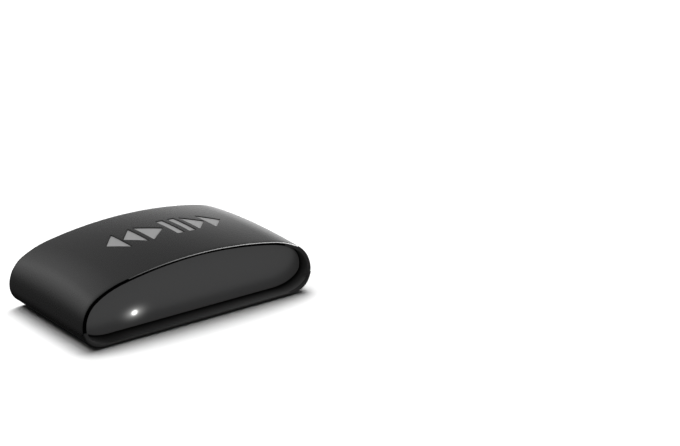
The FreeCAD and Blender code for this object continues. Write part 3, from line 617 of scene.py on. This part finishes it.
def prism_along_y(name, loop, low, high):
    """A closed prism from an (x, z) outline between two depths."""
    verts, faces = solid_through([[(x, y, z) for x, z in loop] for y in (low, high)])
    return loose(name, verts, faces)


def socket_opening(x, wide, tall):
    """The hole round a socket: wide at the top, with its lower corners cut off like the shell's."""
    half, foot = wide / 2 + SOCKET_CLEAR, 0.74 * wide / 2 + 0.45 * SOCKET_CLEAR
    low = BOARD_TOP + 0.05 * tall - SOCKET_CLEAR
    shelf = BOARD_TOP + 0.42 * tall - 0.35 * SOCKET_CLEAR
    high = BOARD_TOP + tall + SOCKET_CLEAR
    right = [(x + foot, low), (x + half, shelf), (x + half, high)]
    left = [(x - half, high), (x - half, shelf), (x - foot, low)]
    return rounded_outline(right + left, 0.4)


def circle(x, z, radius, steps=40):
    """A round outline."""
    angles = np.linspace(0, 2 * math.pi, steps + 1)[:-1]
    return np.stack([x + radius * np.cos(angles), z + radius * np.sin(angles)], 1)


def on_rear_wall(u, v, depth):
    """A point of the rear wall: u across, v up, depth inward from its face."""
    return u, REAR_FACE - depth, v


def make_rear_wall():
    """The rear wall with its two sockets' openings and the reset hole."""
    outline = mouth_outline(REAR_FACE, REAR_GAP, REAR_GAP)
    wall = plate("rear_wall", outline, on_rear_wall, REAR_THICK, REAR_BEVEL, "player")
    holes = {
        "cut_video": socket_opening(*VIDEO_SOCKET),
        "cut_power": socket_opening(*POWER_SOCKET),
        "cut_reset": circle(*RESET, RESET_HOLE),
    }
    # The weighted normals that plate() adds have to come after the cuts and the rounding.
    wall.modifiers.clear()
    carve(wall, [prism_along_y(name, loop, 16, 20) for name, loop in holes.items()])
    soften(wall, REAR_BEVEL, 2)
    finish_mesh(wall)
    flatten(wall)
    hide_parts("bottom_case")
    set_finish(wall, "case_plastic")
    return wall


def make_foot():
    """The rubber pad under the tray."""
    wide, deep = FOOT_HALF
    corners = [(-wide, -deep), (wide, -deep), (wide, deep), (-wide, deep)]
    outline = rounded_outline(corners, FOOT_CORNER, 10)
    foot = plate("foot", outline, lambda u, v, d: (u, v, d), FOOT_THICK, FOOT_BEVEL, "player")
    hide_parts("foot_pad")
    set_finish(foot, "foot_rubber")
    return foot


def make_button():
    """The reset button: a turned form with a dished, round-edged face."""
    x, z = RESET
    profile = [(FLANGE_RADIUS, FLANGE_BACK), (FLANGE_RADIUS, FLANGE_FRONT)]
    profile += [(CAP_RADIUS, FLANGE_FRONT), (CAP_RADIUS, CAP_FRONT)]
    for t in np.linspace(0.2, math.pi / 2, 6):
        profile.append((CAP_RADIUS - CAP_ROUND * (1 - math.cos(t)), CAP_FRONT + CAP_ROUND * math.sin(t)))
    profile += [(1.15, 18.97), (0.9, 18.88), (0.5, 18.82)]
    steps = 48
    verts, faces = [(x, FLANGE_BACK, z)], []
    for radius, y in profile:
        for k in range(steps):
            angle = 2 * math.pi * k / steps
            verts.append((x + radius * math.cos(angle), y, z + radius * math.sin(angle)))
    verts.append((x, 18.8, z))
    rows = len(profile)
    for k in range(steps):
        j = (k + 1) % steps
        faces.append((0, 1 + k, 1 + j))
        for r in range(rows - 1):
            a, b = 1 + r * steps, 1 + (r + 1) * steps
            faces.append((a + k, b + k, b + j, a + j))
        end = 1 + (rows - 1) * steps
        faces.append((len(verts) - 1, end + j, end + k))
    button = new_piece("reset_button_cap", verts, faces, "reset_plunger")
    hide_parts("reset_button")
    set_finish(button, "button_plastic")
    return button


# ---------------------------------------------------------------------------- materials


def math_node(tree, kind, *values):
    """The output of a new math node. Each value is a number, or the socket that feeds that input."""
    made = tree.nodes.new("ShaderNodeMath")
    made.operation = kind
    for socket, value in zip(made.inputs, values):
        if isinstance(value, (int, float)):
            socket.default_value = value
        else:
            tree.links.new(value, socket)
    return made.outputs[0]


def mixed_colour(tree, share, first, second):
    """Feeds the shader's colour with a mix of two, by a share."""
    mix = tree.nodes.new("ShaderNodeMix")
    mix.data_type = "RGBA"
    mix.inputs["A"].default_value = (*first, 1)
    mix.inputs["B"].default_value = (*second, 1)
    tree.links.new(share, mix.inputs["Factor"])
    tree.links.new(mix.outputs["Result"], tree.nodes["Principled BSDF"].inputs["Base Color"])


def material(
    name, color, roughness, metallic=0.0, bump=0.0, scale=900.0, mottle=0.0, specular=0.5, transmission=0.0
):
    """A Principled material with fine procedural grain in its roughness, its colour (mottle) and its bump."""
    made = bpy.data.materials.new(name)
    made.use_nodes = True
    nodes, links = made.node_tree.nodes, made.node_tree.links
    shader = nodes["Principled BSDF"]
    shader.inputs["Base Color"].default_value = (*color, 1)
    shader.inputs["Roughness"].default_value = roughness
    shader.inputs["Metallic"].default_value = metallic
    shader.inputs["Specular IOR Level"].default_value = specular
    shader.inputs["Transmission Weight"].default_value = transmission
    place = nodes.new("ShaderNodeTexCoord")
    noise = nodes.new("ShaderNodeTexNoise")
    noise.inputs["Scale"].default_value = scale
    noise.inputs["Detail"].default_value = 4
    links.new(place.outputs["Object"], noise.inputs["Vector"])
    spread = nodes.new("ShaderNodeMapRange")
    spread.inputs["From Min"].default_value = 0.3
    spread.inputs["From Max"].default_value = 0.7
    spread.inputs["To Min"].default_value = roughness * 0.9
    spread.inputs["To Max"].default_value = min(1.0, roughness * 1.1)
    links.new(noise.outputs["Fac"], spread.inputs["Value"])
    links.new(spread.outputs["Result"], shader.inputs["Roughness"])
    if mottle:
        darker, lighter = ([c * share for c in color] for share in (1 - mottle, 1 + mottle))
        mixed_colour(made.node_tree, noise.outputs["Fac"], darker, lighter)
    if bump:
        grain = nodes.new("ShaderNodeBump")
        grain.inputs["Strength"].default_value = bump
        grain.inputs["Distance"].default_value = 0.00003
        links.new(noise.outputs["Fac"], grain.inputs["Height"])
        links.new(grain.outputs["Normal"], shader.inputs["Normal"])
    return made


def glow_material():
    """Smoked window plastic, lit from behind round the status light, with a faint painted glow all over."""
    grey = (0.027, 0.027, 0.028)
    made = material("window_plastic", grey, 0.3, bump=0.01, scale=5000, mottle=0.04, specular=0.16)
    tree = made.node_tree
    place = tree.nodes.new("ShaderNodeTexCoord")

    def spot(wide, tall, strength, power):
        """Light that fades away from the status light, over a width and a height in millimetres."""
        shift = tree.nodes.new("ShaderNodeMapping")
        shift.vector_type = "POINT"
        shift.inputs["Location"].default_value = (-GLOW[0] / wide, 0, -GLOW[1] / tall)
        shift.inputs["Scale"].default_value = (1 / (wide * MM), 0, 1 / (tall * MM))
        tree.links.new(place.outputs["Object"], shift.inputs["Vector"])
        length = tree.nodes.new("ShaderNodeVectorMath")
        length.operation = "LENGTH"
        tree.links.new(shift.outputs["Vector"], length.inputs[0])
        away = math_node(tree, "POWER", length.outputs["Value"], power)
        fall = math_node(tree, "EXPONENT", math_node(tree, "MULTIPLY", away, -1.0))
        return math_node(tree, "MULTIPLY", fall, strength)

    core = spot(0.78, 0.62, 1.7, 2.4)
    halo = spot(1.9, 1.15, 0.42, 1.5)
    # The constant adds the painted glow over the whole window.
    total = math_node(tree, "ADD", math_node(tree, "ADD", core, halo), PAINTED_GLOW)
    shader = tree.nodes["Principled BSDF"]
    shader.inputs["Emission Color"].default_value = (1.0, 1.0, 0.98, 1)
    tree.links.new(total, shader.inputs["Emission Strength"])
    return made


def dress(thing, *made):
    """Gives an object these materials and no others."""
    thing.data.materials.clear()
    for each in made:
        thing.data.materials.append(each)


def shares_along(made, *spans):
    """For each span (axis, from, to), a socket that goes from 0 to 1 along it. Millimetres."""
    nodes, links = made.node_tree.nodes, made.node_tree.links
    split = nodes.new("ShaderNodeSeparateXYZ")
    links.new(nodes.new("ShaderNodeTexCoord").outputs["Object"], split.inputs[0])
    sockets = []
    for axis, start, end in spans:
        share = nodes.new("ShaderNodeMapRange")
        share.inputs["From Min"].default_value = start * MM
        share.inputs["From Max"].default_value = end * MM
        links.new(split.outputs[axis], share.inputs["Value"])
        sockets.append(share.outputs["Result"])
    return sockets


def glint_plastic():
    """A metal patch that gives the short bright painted glint at the right end of the rim's painted
    highlight.
    """
    return material("glint_plastic", (0.35, 0.35, 0.35), 0.25, metallic=1.0, bump=0.02, scale=3000)


def painted_highlight_rim():
    """A painted highlight along the top of the cover's front corner, brighter towards the right."""
    made = material("rim_painted_highlight", (0.05, 0.05, 0.05), 0.25, bump=0.02, scale=3000)
    (across,) = shares_along(made, ("X", EDGE_END, RIM_BRIGHT))
    # Painted highlight: the colour lightens from 0.05 to 0.55 along x.
    mixed_colour(made.node_tree, across, [0.05] * 3, [0.55] * 3)
    return made


def ledge_painted_shade_and_light():
    """The mouth's inside, with painted shade and painted light: black in the gap at the window, dull grey in
    front, and lighter at the right.
    """
    made = material("ledge_painted_shade_and_light", (0.03, 0.03, 0.03), 0.6, bump=0.04, scale=4000, specular=0.15)
    tree = made.node_tree
    # Painted shade: black next to the window, greying towards the front. Painted light: lighter towards the
    # right.
    across, forward = shares_along(made, ("X", -32, 32), ("Y", -15.0, -18.2))
    lighter = math_node(tree, "MULTIPLY_ADD", across, 0.85, 0.15)
    mixed_colour(tree, math_node(tree, "MULTIPLY", lighter, forward), [0.0] * 3, [0.05] * 3)
    return made


def inward(face):
    """Whether a face of the band or the tray looks at the inside of the mouth."""
    x, z = face.center.x / MM, face.center.z / MM
    return face.normal.x * x + face.normal.z * (z - BELLY) < 0


def mark_cover(piece):
    """Sorts the cover's faces round the mouth into the materials in COVER_LAYERS.

    facing is -1 on the flat front face, and nears 0 where the rim meets the outside. Several layers paint
    light and shade: near-black painted shade, a painted highlight and glint, and dull plastic as painted
    shade at the right end.
    """
    for face in piece.data.polygons:
        x, y, z = (c / MM for c in face.center)
        front = -HALF_DEPTH + RAKE * z + corner_back(z)
        facing = face.normal.y
        on_rim = -0.97 <= facing < -0.15 and y < front + BEVEL and not inward(face)
        layer = "cover_plastic"
        # Near-black painted shade on the flat front face, for the dark gap beside the window.
        if facing < -0.97 and y < front + 0.1:
            # At the right end the front face takes the tray's dull plastic, which keeps it dark: painted
            # shade.
            layer = "case_plastic" if x > RIGHT_END else "edge_painted_shade"
        # The mouth's inner walls: near-black painted shade, and at the right end the ledge's graded painted
        # shade.
        elif inward(face) and y < MOUTH_BACK:
            layer = "ledge_painted_shade_and_light" if x > RIGHT_END else "edge_painted_shade"
        # On the left, the rim's inner half is near-black painted shade.
        elif on_rim and x < EDGE_END:
            layer = "edge_painted_shade" if facing < -0.6 else "cover_plastic"
        # Beyond the glint the rim takes the tray's dull plastic, which keeps it dark: painted shade.
        elif on_rim and x > GLINT[1]:
            layer = "case_plastic"
        # Along the top the rim's front half carries the painted highlight and, at its right end, the painted
        # glint.
        elif on_rim and facing < -0.7:
            layer = "glint_plastic" if x > GLINT[0] else "rim_painted_highlight"
        face.material_index = COVER_LAYERS.index(layer)


def mark_tray(piece):
    """Gives the mouth's floor, in front of the window, the tray's second material, with its painted shade and
    light.
    """
    for face in piece.data.polygons:
        if inward(face) and face.normal.y > -0.5 and face.center.y / MM < MOUTH_BACK:
            face.material_index = 1


def make_materials():
    """The material of each slot in the record."""
    made = {}

    def add(name, color, roughness, **settings):
        made[name] = material(name, color, roughness, **settings)

    add("cover_plastic", (0.0045, 0.0045, 0.0046), 0.27, bump=0.008, scale=5000, mottle=0.05, specular=0.3)
    # Near black and without shine: painted shade for the gap at the cover's front edge and the mouth's inner
    # walls.
    add("edge_painted_shade", (0.0006, 0.0006, 0.0006), 0.8, bump=0.05, specular=0.0)
    add("emblem_print", (0.34, 0.34, 0.34), 0.5, bump=0.05, scale=5000, mottle=0.05)
    add("case_plastic", (0.014, 0.014, 0.0142), 0.6, bump=0.04, scale=4000, mottle=0.06, specular=0.1)
    made["window_plastic"] = glow_material()
    add("foot_rubber", (0.006, 0.006, 0.006), 0.8, bump=0.5, scale=1500, mottle=0.2)
    add("tape_foam", (0.004, 0.004, 0.004), 0.9, bump=0.6, scale=3000)
    add("board_laminate", (0.012, 0.09, 0.045), 0.35, bump=0.2, scale=700, mottle=0.3)
    add("screw_steel", (0.45, 0.45, 0.47), 0.3, metallic=1.0, bump=0.2, scale=2000)
    add("port_steel", (0.62, 0.62, 0.63), 0.26, metallic=1.0, bump=0.1, scale=2500, mottle=0.06)
    add("port_plastic", (0.012, 0.012, 0.012), 0.5, bump=0.2, scale=2500)
    add("contact_gold", (0.83, 0.62, 0.24), 0.25, metallic=1.0, bump=0.05)
    add("button_plastic", (0.05, 0.05, 0.052), 0.45, bump=0.2, scale=2500, mottle=0.1)
    add("switch_plastic", (0.02, 0.02, 0.02), 0.5, bump=0.2)
    add("led_lens", (0.9, 0.9, 0.85), 0.3, bump=0.05)
    add("clear_plastic", (0.85, 0.87, 0.9), 0.15, bump=0.02, transmission=0.9)
    add("eye_plastic", (0.02, 0.012, 0.015), 0.2, bump=0.03)
    add("can_tin", (0.6, 0.6, 0.58), 0.35, metallic=1.0, bump=0.15, scale=1200, mottle=0.08)
    add("pad_silicone", (0.3, 0.36, 0.46), 0.7, bump=0.3, mottle=0.1)
    add("spreader_aluminium", (0.7, 0.7, 0.72), 0.35, metallic=1.0, bump=0.2, mottle=0.05)
    add("chip_epoxy", (0.02, 0.02, 0.021), 0.55, bump=0.4, scale=2500, mottle=0.15)
    add("coil_ferrite", (0.1, 0.1, 0.1), 0.6, bump=0.4, mottle=0.15)
    add("capacitor_ceramic", (0.42, 0.3, 0.17), 0.5, bump=0.2, mottle=0.1)
    add("tantalum_case", (0.62, 0.42, 0.08), 0.5, bump=0.2, mottle=0.08)
    add("end_tin", (0.7, 0.7, 0.7), 0.3, metallic=1.0, bump=0.2)
    add("resistor_film", (0.03, 0.03, 0.04), 0.4, bump=0.2, mottle=0.1)
    add("antenna_sheet", (0.7, 0.6, 0.4), 0.3, metallic=1.0, bump=0.1)
    return made


# ---------------------------------------------------------------------------- stage


# The camera, fitted to the photo: focal length and sensor width, then its place and axes in metres.
CAMERA_LENS = 105.31
CAMERA_SENSOR = 36.0
CAMERA_PLACE = (-0.26129, -0.42347, 0.20156)
CAMERA_RIGHT = (0.7961, -0.60516, -0.00318)
CAMERA_AHEAD = (0.56788, 0.74885, -0.34167)


def make_camera():
    """The camera at the photo's angle."""
    camera = bpy.data.cameras.new("camera")
    camera.sensor_width = CAMERA_SENSOR
    camera.lens = CAMERA_LENS
    camera.clip_start = 0.01
    holder = bpy.data.objects.new("camera", camera)
    bpy.context.scene.collection.objects.link(holder)
    right = Vector(CAMERA_RIGHT).normalized()
    ahead = Vector(CAMERA_AHEAD).normalized()
    turned = Matrix((right, right.cross(ahead), -ahead)).transposed().to_4x4()
    turned.translation = Vector(CAMERA_PLACE)
    holder.matrix_world = turned
    bpy.context.scene.camera = holder


# Soft lights all round the object: azimuth from +X and elevation in degrees, tightness, strength.
SOFT_LIGHTS = (
    # overhead, towards the back
    (50, 65, 12, 0.9),
    # large soft box behind the left shoulder
    (91, 41, 30, 0.65),
    (114, 35, 30, 1.75),
    (128, 19, 30, 0.95),
    (145, 5, 30, 0.25),
    # low and dim behind
    (45, 15, 14, 0.58),
    (95, 15, 14, 0.62),
    (50, -6, 50, 1.0),
    (53, -18, 40, 0.5),
    (130, -20, 14, 0.17),
    # front fill, and pale ground in front
    (270, 15, 14, 1.1),
    (310, 15, 14, 1.1),
    (310, -15, 14, 1.0),
    (313, -50, 12, 1.2),
    (240, -30, 12, 0.6),
    # from the upper left, which reaches into the mouth
    (220, 52, 8, 1.6),
    # strip at the right, which draws the mouth's upper edge
    (-5, 25, 60, 12.0),
    (-30, 45, 60, 5.0),
)

# Lights for the floor alone: azimuth, elevation, strength. Each is 38 degrees wide.
FLOOR_LIGHT_WIDTH = 38
FLOOR_LIGHTS = (
    (35, 66, 27.5),
    (65, 66, 31.0),
    (140, 66, 24.5),
)
# Half the floor's width, in millimetres.
FLOOR_HALF = 3000


def heading(azimuth, elevation):
    """Unit vector towards an azimuth and elevation in degrees."""
    a = math.radians(azimuth)
    e = math.radians(elevation)
    return Vector((math.cos(a) * math.cos(e), math.sin(a) * math.cos(e), math.sin(e)))


def make_world():
    """A dark studio with soft lights. The camera itself sees white behind the floor."""
    world = bpy.data.worlds.new("studio")
    world.use_nodes = True
    tree = world.node_tree
    nodes, links = tree.nodes, tree.links
    way = nodes.new("ShaderNodeTexCoord").outputs["Generated"]
    total = 0.0
    for azimuth, elevation, tight, strength in SOFT_LIGHTS:
        toward = nodes.new("ShaderNodeVectorMath")
        toward.operation = "DOT_PRODUCT"
        toward.inputs[1].default_value = heading(azimuth, elevation)
        links.new(way, toward.inputs[0])
        fall = math_node(tree, "MULTIPLY_ADD", toward.outputs["Value"], tight, -tight)
        total = math_node(tree, "MULTIPLY_ADD", math_node(tree, "EXPONENT", fall), strength, total)
    studio = nodes["Background"]
    studio.inputs["Color"].default_value = (1, 1, 1, 1)
    links.new(total, studio.inputs["Strength"])
    backdrop = nodes.new("ShaderNodeBackground")
    backdrop.inputs["Color"].default_value = (1, 1, 1, 1)
    mix = nodes.new("ShaderNodeMixShader")
    links.new(nodes.new("ShaderNodeLightPath").outputs["Is Camera Ray"], mix.inputs["Fac"])
    links.new(studio.outputs[0], mix.inputs[1])
    links.new(backdrop.outputs[0], mix.inputs[2])
    links.new(mix.outputs[0], nodes["World Output"].inputs["Surface"])
    bpy.context.scene.world = world


def make_stage():
    """The floor, which only the camera sees, and its own soft lights from behind."""
    bpy.context.scene.view_settings.view_transform = "Standard"
    far = FLOOR_HALF
    floor = loose("floor", [(-far, -far, 0), (far, -far, 0), (far, far, 0), (-far, far, 0)], [(0, 1, 2, 3)])
    floor.visible_glossy = False
    floor.visible_diffuse = False
    floor.visible_shadow = False
    paper = material("floor_paper", (0.05, 0.05, 0.05), 0.95, bump=0.02, scale=300, specular=0.0)
    dress(floor, paper)
    only_floor = bpy.data.collections.new("only_floor")
    only_floor.objects.link(floor)
    for azimuth, elevation, strength in FLOOR_LIGHTS:
        light = bpy.data.lights.new("floor_light", "SUN")
        light.angle = math.radians(FLOOR_LIGHT_WIDTH)
        light.energy = strength
        holder = bpy.data.objects.new("floor_light", light)
        holder.rotation_euler = heading(azimuth, elevation).to_track_quat("Z", "Y").to_euler()
        holder.light_linking.receiver_collection = only_floor
        bpy.context.scene.collection.objects.link(holder)


# ---------------------------------------------------------------------------- put together


paints = make_materials()
cover = make_cover()
emblem = make_emblem()
window, backing = make_window()
tray = make_tray()
rear_wall = make_rear_wall()
foot = make_foot()
button = make_button()
for piece in (cover, emblem, window, backing, tray, rear_wall, foot, button):
    dress(piece, paints[piece["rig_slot"]])
slot_of = {row["node"]: row["material_slot"] for row in frame["record"]["subparts"]}
for node, thing in frame["nodes"].items():
    dress(thing, paints[slot_of[node]])

paints["ledge_painted_shade_and_light"] = ledge_painted_shade_and_light()
paints["glint_plastic"] = glint_plastic()
paints["rim_painted_highlight"] = painted_highlight_rim()
dress(cover, *[paints[name] for name in COVER_LAYERS])
mark_cover(cover)
dress(tray, paints["case_plastic"], paints["ledge_painted_shade_and_light"])
mark_tray(tray)

make_camera()
make_world()
make_stage()
